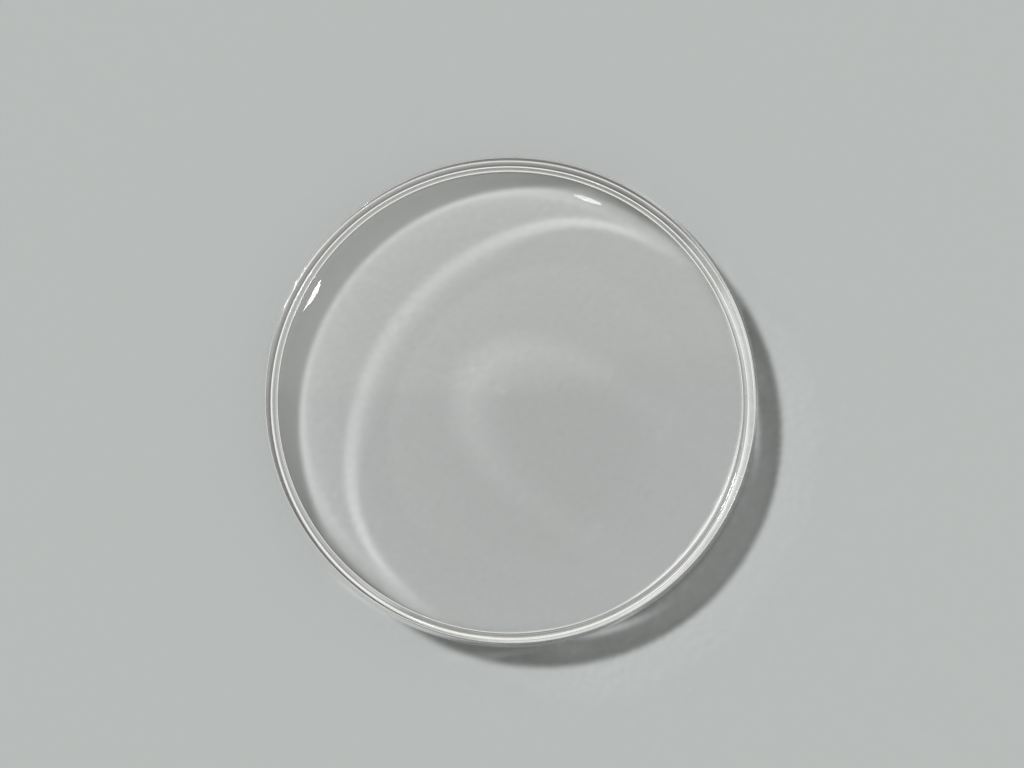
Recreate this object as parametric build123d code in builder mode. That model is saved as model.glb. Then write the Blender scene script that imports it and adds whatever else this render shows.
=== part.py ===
from build123d import *

import math
import os

# A bare moulded acrylic watch crystal: a shallow dome over an upright rim, all one piece.
# Millimetres. The origin is the centre of the flat foot of the rim, and +Z points out of the watch.

# The rim: an upright outer wall, and an inner wall that leans in from a narrow foot
outer_diameter = 29.6
shoulder_height = 2.3
rim_thickness = 0.75
inner_taper = 0.4
foot_outer_chamfer = 0.11
foot_inner_chamfer = 0.08

# The polished bevel between the upright wall and the dome
bevel_width = 0.25
bevel_drop = 0.31

# The dome, and the more strongly curved underside that thins it towards the middle
crown_rise = 0.44
underside_rise = 1.355
centre_thickness = 0.73

# The small radii that moulding and polishing leave
crown_edge_radius = 0.18
shoulder_edge_radius = 0.06
foot_edge_radius = 0.03
underside_corner_radius = 0.3


def arc_radius(rise, half_chord):
    # The radius of an arc that rises this much from its edge to its middle
    return (rise**2 + half_chord**2) / (2 * rise)


outer_radius = outer_diameter / 2
crown_edge_from_axis = outer_radius - bevel_width
crown_edge_height = shoulder_height + bevel_drop
crown_top = crown_edge_height + crown_rise
underside_edge_from_axis = outer_radius - rim_thickness
foot_inner_radius = underside_edge_from_axis + inner_taper
underside_top = crown_top - centre_thickness
underside_edge_height = underside_top - underside_rise

# The corners of the half section, as (distance from the axis, height)
crown_centre = (0, crown_top)
crown_edge = (crown_edge_from_axis, crown_edge_height)
shoulder = (outer_radius, shoulder_height)
wall_foot = (outer_radius, foot_outer_chamfer)
foot_outer = (outer_radius - foot_outer_chamfer, 0)
foot_inner = (foot_inner_radius + foot_inner_chamfer, 0)
bore_foot = (foot_inner_radius, foot_inner_chamfer)
underside_edge = (underside_edge_from_axis, underside_edge_height)
underside_centre = (0, underside_top)

with BuildPart() as crystal:
    with BuildSketch(Plane.XZ) as half_section:
        with BuildLine():
            RadiusArc(crown_centre, crown_edge, arc_radius(crown_rise, crown_edge_from_axis))
            Polyline(
                crown_edge,
                shoulder,
                wall_foot,
                foot_outer,
                foot_inner,
                bore_foot,
                underside_edge,
            )
            RadiusArc(
                underside_centre,
                underside_edge,
                arc_radius(underside_rise, underside_edge_from_axis),
            )
            Line(underside_centre, crown_centre)
        make_face()
        rounded_corners = (
            (crown_edge, crown_edge_radius),
            (shoulder, shoulder_edge_radius),
            (wall_foot, foot_edge_radius),
            (foot_outer, foot_edge_radius),
            (foot_inner, foot_edge_radius),
            (bore_foot, foot_edge_radius),
            (underside_edge, underside_corner_radius),
        )
        for corner, corner_radius in rounded_corners:
            fillet(half_section.vertices().sort_by_distance(corner)[0], corner_radius)
    revolve(axis=Axis.Z)
crystal.part.label = "crystal"

os.makedirs("parts", exist_ok=True)
export_step(crystal.part, "parts/crystal.step")

size = crystal.part.bounding_box().size
print(f"crystal: {size.X:.2f} across, {size.Z:.2f} high, {crystal.part.volume:.1f} cubic mm")
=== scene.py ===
import math

import bpy
import numpy as np
from mathutils import Matrix, Vector


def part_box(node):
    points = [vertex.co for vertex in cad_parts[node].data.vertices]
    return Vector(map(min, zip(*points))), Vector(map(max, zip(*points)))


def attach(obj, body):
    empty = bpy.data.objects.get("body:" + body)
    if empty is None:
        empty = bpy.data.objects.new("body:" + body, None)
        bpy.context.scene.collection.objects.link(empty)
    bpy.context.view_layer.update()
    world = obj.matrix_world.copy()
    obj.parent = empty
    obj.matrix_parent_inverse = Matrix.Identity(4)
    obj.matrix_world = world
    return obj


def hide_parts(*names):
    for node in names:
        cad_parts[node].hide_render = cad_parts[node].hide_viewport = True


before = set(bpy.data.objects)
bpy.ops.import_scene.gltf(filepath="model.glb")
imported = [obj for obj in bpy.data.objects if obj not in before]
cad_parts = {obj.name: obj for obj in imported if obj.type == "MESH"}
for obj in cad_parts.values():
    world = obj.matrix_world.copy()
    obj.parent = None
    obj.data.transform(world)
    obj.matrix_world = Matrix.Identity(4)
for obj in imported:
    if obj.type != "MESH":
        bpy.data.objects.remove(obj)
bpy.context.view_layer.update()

# A bare acrylic watch crystal on a plain pale floor. Metres, in the frame of the CAD model:
# the origin is the centre of the flat foot of the rim and +Z is the axis of the dome.

MM = 0.001
white = (1, 1, 1, 1)

# The section of the crystal, in the same driving sizes as its CAD model
rim_thickness = 0.75 * MM
inner_taper = 0.4 * MM
foot_outer_chamfer = 0.11 * MM
foot_inner_chamfer = 0.08 * MM
bevel_width = 0.25 * MM
bevel_drop = 0.31 * MM
crown_rise = 0.44 * MM
underside_rise = 1.355 * MM
centre_thickness = 0.73 * MM
crown_edge_radius = 0.18 * MM
shoulder_edge_radius = 0.06 * MM
foot_edge_radius = 0.03 * MM
underside_corner_radius = 0.3 * MM
# How far before its edge each dome's arc ends and a straight run leads into the rounded corner
crown_lead = 1.5 * crown_edge_radius
underside_lead = 2 * underside_corner_radius
crystal_low, crystal_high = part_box("crystal")
outer_radius = (crystal_high.x - crystal_low.x) / 2
crown_top = crystal_high.z

# How finely the lathe turns it, and the coarser section that the lamp's rays are traced through
turn_steps = 720
fine_steps = {"dome": 28, "corner": 10}
ray_steps = {"dome": 9, "corner": 5}
sharp_angle = math.radians(30)
acrylic_ior = 1.49

# How often a ray of the render may bounce. The dome guides light from rim to rim by many inner
# reflections, and where a ray stops too soon the rim turns black.
light_bounces = 48

# The photograph's camera: focal length in its pixels, and the pixel where the origin is seen. The
# film's width is in millimetres, as the renderer counts it.
photo_width = 1024
photo_height = 768
focal_pixels = 1050
origin_pixel = (510.8, 397.79)
camera_distance = 64.9 * MM
camera_tilt = math.radians(8.4)
camera_yaw = math.radians(-1.5)
film_width = 36
nearest_seen = 1 * MM

# The lamp that throws the shadow: its outline as the crystal mirrors it, the bright core that its
# light is traced from, and its share of all the light on the open floor. A stack of sheets shares
# its light, since the renderer holds back any one very bright glint.
lamp_distance = 1.0
lamp_azimuth = math.radians(144.4)
lamp_elevation = math.radians(43.0)
lamp_width = math.radians(8.4)
lamp_height = math.radians(4)
core_width = math.radians(6)
core_height = math.radians(1.5)
lamp_share = 0.68
lamp_sheets = 3
sheet_gap = 1 * MM

# A second lamp, too weak for a shadow, that only shows as a small glint
glint_azimuth = math.radians(70.6)
glint_elevation = math.radians(40.4)
glint_width = math.radians(5)
glint_height = math.radians(1.0)
glint_share = 0.0025

# The floor lies just clear of the foot, so that the two surfaces don't coincide
floor_colour = (0.48, 0.50, 0.49, 1)
floor_roughness = 0.9
floor_half = 1.5
floor_gap = 0.02 * MM

# The backdrop that the crystal mirrors and lets through: dimmer round the camera, cream beyond an
# edge across the view that steps back on the right, pale lavender low down on the near side, and
# white at the horizon. The edge, the step and the heights are parts of a direction of length 1.
backdrop_dim = (0.64, 0.63, 0.59, 1)
backdrop_far = (1.0, 0.97, 0.89, 1)
backdrop_near = (0.90, 0.87, 0.88, 1)
backdrop_edge = 0.14
backdrop_edge_softness = 0.02
backdrop_step = 0.05
backdrop_step_place = 0.17
backdrop_dim_height = 0.95
backdrop_near_height = 0.86
backdrop_horizon = 0.3

# The colour of the soft light on every dull surface. A ray has been scattered by such a surface
# when its count of dull bounces is above this limit.
soft_tint = (1, 1, 0.98)
scatter_limit = 0.5

# The stretch of floor round the crystal that carries the lamp's shadow and bright arcs
pattern_half = 30 * MM
pattern_cell = 0.15 * MM

# The rays that are traced for it: how many, how often each may bounce, how near to a surface a ray
# counts as on it, the margin round the crystal and its shadow that they are aimed at, and the height
# that they start from
ray_count = 1000000
ray_bounces = 9
hit_clearance = 1e-7
aim_margin = 1 * MM
ray_start_height = 2 * crown_top

# Of the rays that meet the dome at least this far inside the rim, one in so many is traced for all
dome_margin = 4 * bevel_width
dome_ray_step = 3

# Irrational steps whose multiples strew four fractions evenly
even_steps = np.array([0.7548776662, 0.5698402910, 0.4142135624, 0.7320508076])


def rounded(corners, corner_steps):
    # The outline through (point, radius) pairs, with each corner that has a radius made an arc
    outline = []
    for i, (corner, radius) in enumerate(corners):
        if radius == 0:
            outline.append(Vector(corner))
            continue
        here = Vector(corner)
        back = (Vector(corners[i - 1][0]) - here).normalized()
        ahead = (Vector(corners[i + 1][0]) - here).normalized()
        half_angle = back.angle(ahead) / 2
        centre = here + (back + ahead).normalized() * radius / math.sin(half_angle)
        first = here + back * radius / math.tan(half_angle) - centre
        last = here + ahead * radius / math.tan(half_angle) - centre
        sweep = math.atan2(first.x * last.y - first.y * last.x, first.dot(last))
        for step in range(corner_steps + 1):
            turn = Matrix.Rotation(sweep * step / corner_steps, 2)
            outline.append(centre + turn @ first)
    return outline


def dome_points(top, rise, edge_distance, reach, dome_steps):
    # An arc that rises this much from its edge to the axis, from the axis out to this reach
    radius = (rise**2 + edge_distance**2) / (2 * rise)
    points = []
    for step in range(dome_steps + 1):
        distance = reach * step / dome_steps
        points.append(Vector((distance, top - radius + math.sqrt(radius**2 - distance**2))))
    return points


def crystal_outline(steps):
    # The half section from the top of the crown round the rim to the top of the underside
    crown_edge_distance = outer_radius - bevel_width
    underside_edge_distance = outer_radius - rim_thickness
    underside_top = crown_top - centre_thickness
    crown_edge_height = crown_top - crown_rise
    foot_inner = underside_edge_distance + inner_taper
    crown = dome_points(
        crown_top,
        crown_rise,
        crown_edge_distance,
        crown_edge_distance - crown_lead,
        steps["dome"],
    )
    underside = dome_points(
        underside_top,
        underside_rise,
        underside_edge_distance,
        underside_edge_distance - underside_lead,
        steps["dome"],
    )
    rim = rounded(
        [
            (crown[-1], 0),
            ((crown_edge_distance, crown_edge_height), crown_edge_radius),
            ((outer_radius, crown_edge_height - bevel_drop), shoulder_edge_radius),
            ((outer_radius, foot_outer_chamfer), foot_edge_radius),
            ((outer_radius - foot_outer_chamfer, 0), foot_edge_radius),
            ((foot_inner + foot_inner_chamfer, 0), foot_edge_radius),
            ((foot_inner, foot_inner_chamfer), foot_edge_radius),
            ((underside_edge_distance, underside_top - underside_rise), underside_corner_radius),
            (underside[-1], 0),
        ],
        steps["corner"],
    )
    return crown[:-1] + rim + underside[-2::-1]


def placed(name, data):
    # A new object of the scene that holds this mesh, lamp or camera
    thing = bpy.data.objects.new(name, data)
    bpy.context.scene.collection.objects.link(thing)
    return thing


def lathe(name, outline):
    # Turns an outline that starts and ends on the axis into a closed mesh
    vertices = [(0, 0, outline[0].y)]
    for point in outline[1:-1]:
        for step in range(turn_steps):
            angle = 2 * math.pi * step / turn_steps
            vertices.append((point.x * math.cos(angle), point.x * math.sin(angle), point.y))
    vertices.append((0, 0, outline[-1].y))
    rings = len(outline) - 2
    last = len(vertices) - 1
    faces = []
    for step in range(turn_steps):
        after = (step + 1) % turn_steps
        faces.append((0, 1 + step, 1 + after))
        for ring in range(rings - 1):
            start = 1 + ring * turn_steps
            below = start + turn_steps
            faces.append((start + step, below + step, below + after, start + after))
        start = 1 + (rings - 1) * turn_steps
        faces.append((start + step, last, start + after))
    mesh = bpy.data.meshes.new(name)
    mesh.from_pydata(vertices, [], faces)
    mesh.shade_smooth()
    mesh.set_sharp_from_angle(angle=sharp_angle)
    return placed(name, mesh)


def acrylic_material():
    material = bpy.data.materials.new("clear_acrylic")
    material.use_nodes = True
    shader = material.node_tree.nodes["Principled BSDF"]
    shader.inputs["Base Color"].default_value = white
    shader.inputs["Roughness"].default_value = 0.0
    shader.inputs["IOR"].default_value = acrylic_ior
    shader.inputs["Transmission Weight"].default_value = 1.0
    return material


def floor_material():
    # Soft light falls on it, and the lamp's light glows from it in the traced pattern
    material = bpy.data.materials.new("floor")
    material.use_nodes = True
    nodes = material.node_tree.nodes
    shader = nodes["Principled BSDF"]
    shader.inputs["Base Color"].default_value = floor_colour
    shader.inputs["Roughness"].default_value = floor_roughness
    shader.inputs["Specular IOR Level"].default_value = 0.0
    shader.inputs["Emission Color"].default_value = floor_colour
    pattern = nodes.new("ShaderNodeAttribute")
    pattern.attribute_name = "lamp_light"
    share = nodes.new("ShaderNodeMath")
    share.operation = "MULTIPLY"
    share.inputs[1].default_value = lamp_share
    material.node_tree.links.new(pattern.outputs["Fac"], share.inputs[0])
    material.node_tree.links.new(share.outputs["Value"], shader.inputs["Emission Strength"])
    return material


def wall_runs(outline):
    # The runs of the section, each with its outward direction at both ends, eased where the section
    # is smooth. On the axis the outward direction is straight up or down.
    points = np.array([(point.x, point.y) for point in outline])
    starts, along = points[:-1], np.diff(points, axis=0)
    lengths = np.linalg.norm(along, axis=1)
    along = along / lengths[:, None]
    square = np.stack([-along[:, 1], along[:, 0]], axis=1)
    eased = []
    for neighbour in (np.roll(square, 1, axis=0), np.roll(square, -1, axis=0)):
        middle = square + neighbour
        middle /= np.linalg.norm(middle, axis=1)[:, None]
        smooth = (square * neighbour).sum(axis=1) > math.cos(sharp_angle)
        eased.append(np.where(smooth[:, None], middle, square))
    eased[0][0], eased[1][-1] = (0, 1), (0, -1)
    return list(zip(starts, along, lengths, square, eased[0], eased[1]))


def first_hits(origins, directions, walls):
    # Where each ray first meets the turned section: the distance, endless where it meets nothing,
    # and the outward direction there as (away from the axis, up)
    distance = np.full(len(origins), np.inf)
    outward = np.zeros((len(origins), 2))
    flat_speed = (directions[:, :2] ** 2).sum(axis=1)
    flat_meet = (origins[:, :2] * directions[:, :2]).sum(axis=1)
    flat_place = (origins[:, :2] ** 2).sum(axis=1)
    for start, along, length, square, first, last in walls:
        # The cone where square[0] * radius + square[1] * height = level
        level = square @ start
        rest = level - square[1] * origins[:, 2]
        climb = square[1] * directions[:, 2]
        a = square[0] ** 2 * flat_speed - climb**2
        b = square[0] ** 2 * flat_meet + climb * rest
        c = square[0] ** 2 * flat_place - rest**2
        root = np.sqrt(np.maximum(b * b - a * c, 0))
        for sign in (-1, 1):
            reach = (-b + sign * root) / a
            place = origins + directions * reach[:, None]
            radius = np.hypot(place[:, 0], place[:, 1])
            share = ((radius - start[0]) * along[0] + (place[:, 2] - start[1]) * along[1]) / length
            off = np.abs(square[0] * radius + square[1] * place[:, 2] - level)
            nearer = (reach > hit_clearance) & (reach < distance) & (share >= 0) & (share <= 1)
            nearer &= off < hit_clearance
            distance = np.where(nearer, reach, distance)
            eased = first * (1 - share[:, None]) + last * share[:, None]
            outward = np.where(nearer[:, None], eased, outward)
    return distance, outward


def through_the_crystal(origins, directions, walls):
    # Follows rays through the acrylic to the floor: where they land, and how much of each is left
    power = np.ones(len(origins))
    live = np.arange(len(origins))
    for _ in range(ray_bounces):
        distance, outward = first_hits(origins[live], directions[live], walls)
        met = np.isfinite(distance)
        live, distance, outward = live[met], distance[met], outward[met]
        if len(live) == 0:
            break
        place = origins[live] + directions[live] * distance[:, None]
        radius = np.maximum(np.hypot(place[:, 0], place[:, 1]), hit_clearance)
        sideways = outward[:, :1] * place[:, :2] / radius[:, None]
        normal = np.column_stack([sideways, outward[:, 1]])
        normal /= np.linalg.norm(normal, axis=1)[:, None]
        facing = (directions[live] * normal).sum(axis=1)
        leaving = facing > 0
        normal = np.where(leaving[:, None], -normal, normal)
        # Refracted, less the share that the surface mirrors, or all mirrored where no light gets out
        cosine = np.abs(facing)
        ratio = np.where(leaving, acrylic_ior, 1 / acrylic_ior)
        beyond = 1 - ratio**2 * (1 - cosine**2)
        trapped = beyond <= 0
        far_cosine = np.sqrt(np.maximum(beyond, 0))
        mirrored = directions[live] + 2 * cosine[:, None] * normal
        bent = ratio[:, None] * directions[live]
        bent += (ratio * cosine - far_cosine)[:, None] * normal
        across = ((ratio * cosine - far_cosine) / (ratio * cosine + far_cosine)) ** 2
        upright = ((cosine - ratio * far_cosine) / (cosine + ratio * far_cosine)) ** 2
        passed = np.where(trapped, 1, 1 - (across + upright) / 2)
        turned = np.where(trapped[:, None], mirrored, bent)
        directions[live] = turned / np.linalg.norm(turned, axis=1)[:, None]
        origins[live] = place + directions[live] * hit_clearance
        power[live] *= passed
    power[live] = 0
    landed = directions[:, 2] < -hit_clearance
    fall = np.where(landed, origins[:, 2] / np.maximum(-directions[:, 2], hit_clearance), 0)
    spots = origins[:, :2] + directions[:, :2] * fall[:, None]
    return spots, np.where(landed, power, 0)


def lamp_pattern(centres):
    # The lamp's light on the floor as a share of what falls there without the crystal. The grid's
    # first axis points away from the lamp, and one half of the pattern mirrors the other.
    shadow_reach = crown_top / math.tan(lamp_elevation)
    near, far = -outer_radius - aim_margin, outer_radius + shadow_reach + aim_margin
    side = outer_radius + aim_margin
    # Evenly strewn fractions: two for the spot that a ray is aimed at, two for its place on the
    # core
    number = np.arange(ray_count)[:, None]
    fractions = (0.5 + number * even_steps) % 1
    aim_x = near + (far - near) * fractions[:, 0]
    aim_y = side * fractions[:, 1]
    reach, turn = np.sqrt(fractions[:, 2]), 2 * math.pi * fractions[:, 3]
    sideways = math.tan(core_width / 2) * reach * np.cos(turn)
    upwards = math.tan(core_height / 2) * reach * np.sin(turn)
    sine, cosine = math.sin(lamp_elevation), math.cos(lamp_elevation)
    directions = np.stack([cosine + upwards * sine, sideways, -sine + upwards * cosine], axis=1)
    directions /= np.linalg.norm(directions, axis=1)[:, None]
    aims = np.stack([aim_x, aim_y, np.zeros_like(aim_x)], axis=1)
    origins = aims - directions * (ray_start_height / sine)
    # Of the rays that the smooth dome takes in, one in a few is traced for all
    crown_edge_height = crown_top - crown_rise
    ahead = aims - directions * (crown_edge_height / sine)
    through_dome = np.hypot(ahead[:, 0], ahead[:, 1]) < outer_radius - dome_margin
    kept = ~through_dome | (number[:, 0] % dome_ray_step == 0)
    walls = wall_runs(crystal_outline(ray_steps))
    spots, power = through_the_crystal(origins[kept], directions[kept], walls)
    power = np.where(through_dome[kept], power * dome_ray_step, power)
    spots = np.vstack([spots, spots * (1, -1)])
    power = np.concatenate([power, power])
    half_cell = pattern_cell / 2
    edges = np.append(centres - half_cell, centres[-1] + half_cell)
    landed, _, _ = np.histogram2d(spots[:, 0], spots[:, 1], bins=(edges, edges), weights=power)
    landed /= ray_count / ((far - near) * side) * pattern_cell**2
    # Outside the stretch that the rays were aimed at, the lamp's plain light falls as well
    covered_x = np.minimum(edges[1:], far) - np.maximum(edges[:-1], near)
    covered_y = np.minimum(edges[1:], side) - np.maximum(edges[:-1], -side)
    covered_x = np.clip(covered_x / pattern_cell, 0, 1)
    covered_y = np.clip(covered_y / pattern_cell, 0, 1)
    landed += 1 - covered_x[:, None] * covered_y[None, :]
    # Smoothed a little along both axes
    for axis in (0, 1):
        before, after = np.roll(landed, 1, axis=axis), np.roll(landed, -1, axis=axis)
        landed = (before + 2 * landed + after) / 4
    return landed


def make_crystal():
    crystal = lathe("acrylic_crystal", crystal_outline(fine_steps))
    crystal.data.materials.append(acrylic_material())
    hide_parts("crystal")
    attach(crystal, "root")


def make_floor():
    # One sheet: a fine grid round the crystal, turned to lie along the lamp's light, and a wide
    # border
    cells = round(2 * pattern_half / pattern_cell)
    inner = np.linspace(-pattern_half, pattern_half, cells + 1)
    lines = np.concatenate([[-floor_half], inner, [floor_half]])
    light = np.ones((len(lines), len(lines)))
    light[1:-1, 1:-1] = lamp_pattern(inner)
    away = lamp_azimuth + math.pi
    grid_x, grid_y = np.meshgrid(lines, lines, indexing="ij")
    vertices = np.stack(
        [
            grid_x * math.cos(away) - grid_y * math.sin(away),
            grid_x * math.sin(away) + grid_y * math.cos(away),
            np.zeros_like(grid_x),
        ],
        axis=-1,
    ).reshape(-1, 3)
    number = np.arange(len(lines) ** 2).reshape(len(lines), len(lines))
    corners = [number[:-1, :-1], number[1:, :-1], number[1:, 1:], number[:-1, 1:]]
    faces = np.stack(corners, axis=-1)
    mesh = bpy.data.meshes.new("floor")
    mesh.from_pydata(vertices.tolist(), [], faces.reshape(-1, 4).tolist())
    attribute = mesh.attributes.new("lamp_light", "FLOAT", "POINT")
    attribute.data.foreach_set("value", light.ravel())
    mesh.materials.append(floor_material())
    floor = placed("floor", mesh)
    floor.location.z = -floor_gap
    return floor


def make_lamp(name, distance, azimuth, elevation, width, height, share, floor):
    light = bpy.data.lights.new(name, "AREA")
    light.shape = "ELLIPSE"
    light.size = 2 * distance * math.tan(width / 2)
    light.size_y = 2 * distance * math.tan(height / 2)
    # A lamp of radiance L lights the floor by L * area * sin(elevation) / distance^2, which is
    # pi * share here, and its whole power is L * area * pi
    light.energy = (math.pi * distance) ** 2 * share / math.sin(elevation)
    lamp = placed(name, light)
    towards = Vector(
        (
            math.cos(azimuth) * math.cos(elevation),
            math.sin(azimuth) * math.cos(elevation),
            math.sin(elevation),
        )
    )
    lamp.location = towards * distance
    lamp.rotation_euler = towards.to_track_quat("Z", "Y").to_euler()
    # The floor already glows with the lamp's light. So the lamp leaves the floor out, and shows
    # only to rays that no dull surface has scattered.
    light.use_nodes = True
    nodes, links = light.node_tree.nodes, light.node_tree.links
    path = nodes.new("ShaderNodeLightPath")
    unscattered = nodes.new("ShaderNodeMath")
    unscattered.operation = "LESS_THAN"
    unscattered.inputs[1].default_value = scatter_limit
    links.new(path.outputs["Diffuse Depth"], unscattered.inputs[0])
    links.new(unscattered.outputs["Value"], nodes["Emission"].inputs["Strength"])
    lit = bpy.data.collections.new("lit_by_" + name)
    lit.objects.link(floor)
    lit.collection_objects[0].light_linking.link_state = "EXCLUDE"
    lamp.light_linking.receiver_collection = lit


def make_world():
    # Even soft light on every dull surface. What the clear crystal mirrors is the backdrop.
    world = bpy.data.worlds.new("backdrop")
    bpy.context.scene.world = world
    world.use_nodes = True
    nodes, links = world.node_tree.nodes, world.node_tree.links

    def set_or_link(socket, value):
        if isinstance(value, bpy.types.NodeSocket):
            links.new(value, socket)
        else:
            socket.default_value = value

    def math_node(operation, first, second):
        node = nodes.new("ShaderNodeMath")
        node.operation = operation
        set_or_link(node.inputs[0], first)
        set_or_link(node.inputs[1], second)
        return node.outputs["Value"]

    def eased(value, start, end, reach=1.0):
        node = nodes.new("ShaderNodeMapRange")
        node.interpolation_type = "SMOOTHSTEP"
        links.new(value, node.inputs["Value"])
        node.inputs["From Min"].default_value = start
        node.inputs["From Max"].default_value = end
        node.inputs["To Max"].default_value = reach
        return node.outputs["Result"]

    def mixed(share, first, second):
        node = nodes.new("ShaderNodeMix")
        node.data_type = "RGBA"
        colours = [socket for socket in node.inputs if socket.type == "RGBA"]
        links.new(share, node.inputs[0])
        set_or_link(colours[0], first)
        set_or_link(colours[1], second)
        return [socket for socket in node.outputs if socket.type == "RGBA"][0]

    direction = nodes.new("ShaderNodeSeparateXYZ")
    links.new(nodes.new("ShaderNodeTexCoord").outputs["Generated"], direction.inputs["Vector"])
    right, ahead, up = direction.outputs["X"], direction.outputs["Y"], direction.outputs["Z"]
    soft = backdrop_edge_softness
    step = eased(right, backdrop_step_place - soft, backdrop_step_place + soft, backdrop_step)
    far = eased(math_node("SUBTRACT", ahead, step), backdrop_edge - soft, backdrop_edge + soft)
    overhead = eased(up, backdrop_near_height, backdrop_dim_height)
    near_side = mixed(overhead, backdrop_near, backdrop_dim)
    backdrop = mixed(far, near_side, backdrop_far)
    backdrop = mixed(eased(up, 0.0, backdrop_horizon), white, backdrop)
    path = nodes.new("ShaderNodeLightPath")
    clear = math_node("ADD", path.outputs["Is Camera Ray"], path.outputs["Is Glossy Ray"])
    clear = math_node("ADD", clear, path.outputs["Is Transmission Ray"])
    unscattered = math_node("LESS_THAN", path.outputs["Diffuse Depth"], scatter_limit)
    clear = math_node("MULTIPLY", clear, unscattered)
    clear = math_node("MINIMUM", clear, 1.0)
    soft_light = (*((1 - lamp_share) * part for part in soft_tint), 1)
    shown = mixed(clear, soft_light, backdrop)
    links.new(shown, nodes["Background"].inputs["Color"])


def make_camera():
    camera = bpy.data.cameras.new("camera")
    camera.sensor_width = film_width
    camera.lens = camera.sensor_width * focal_pixels / photo_width
    camera.clip_start = nearest_seen
    turn = Matrix.Rotation(camera_yaw, 3, "Y") @ Matrix.Rotation(camera_tilt, 3, "X")
    right, up = turn @ Vector((1, 0, 0)), turn @ Vector((0, 1, 0))
    forward = turn @ Vector((0, 0, -1))
    across = (origin_pixel[0] - photo_width / 2) / focal_pixels
    down = (origin_pixel[1] - photo_height / 2) / focal_pixels
    sight = (forward + right * across - up * down).normalized()
    holder = placed("camera", camera)
    holder.location = -sight * camera_distance
    holder.rotation_euler = turn.to_euler()
    bpy.context.scene.camera = holder


def make_lamps(floor):
    for sheet in range(lamp_sheets):
        make_lamp(
            f"lamp_{sheet}",
            lamp_distance + sheet * sheet_gap,
            lamp_azimuth,
            lamp_elevation,
            lamp_width,
            lamp_height,
            lamp_share / lamp_sheets,
            floor,
        )
    make_lamp(
        "glint",
        lamp_distance,
        glint_azimuth,
        glint_elevation,
        glint_width,
        glint_height,
        glint_share,
        floor,
    )


make_camera()
make_crystal()
make_lamps(make_floor())
make_world()
bpy.context.scene.view_settings.view_transform = "Standard"
bpy.context.scene.cycles.max_bounces = light_bounces
bpy.context.scene.cycles.glossy_bounces = light_bounces
bpy.context.scene.cycles.transmission_bounces = light_bounces
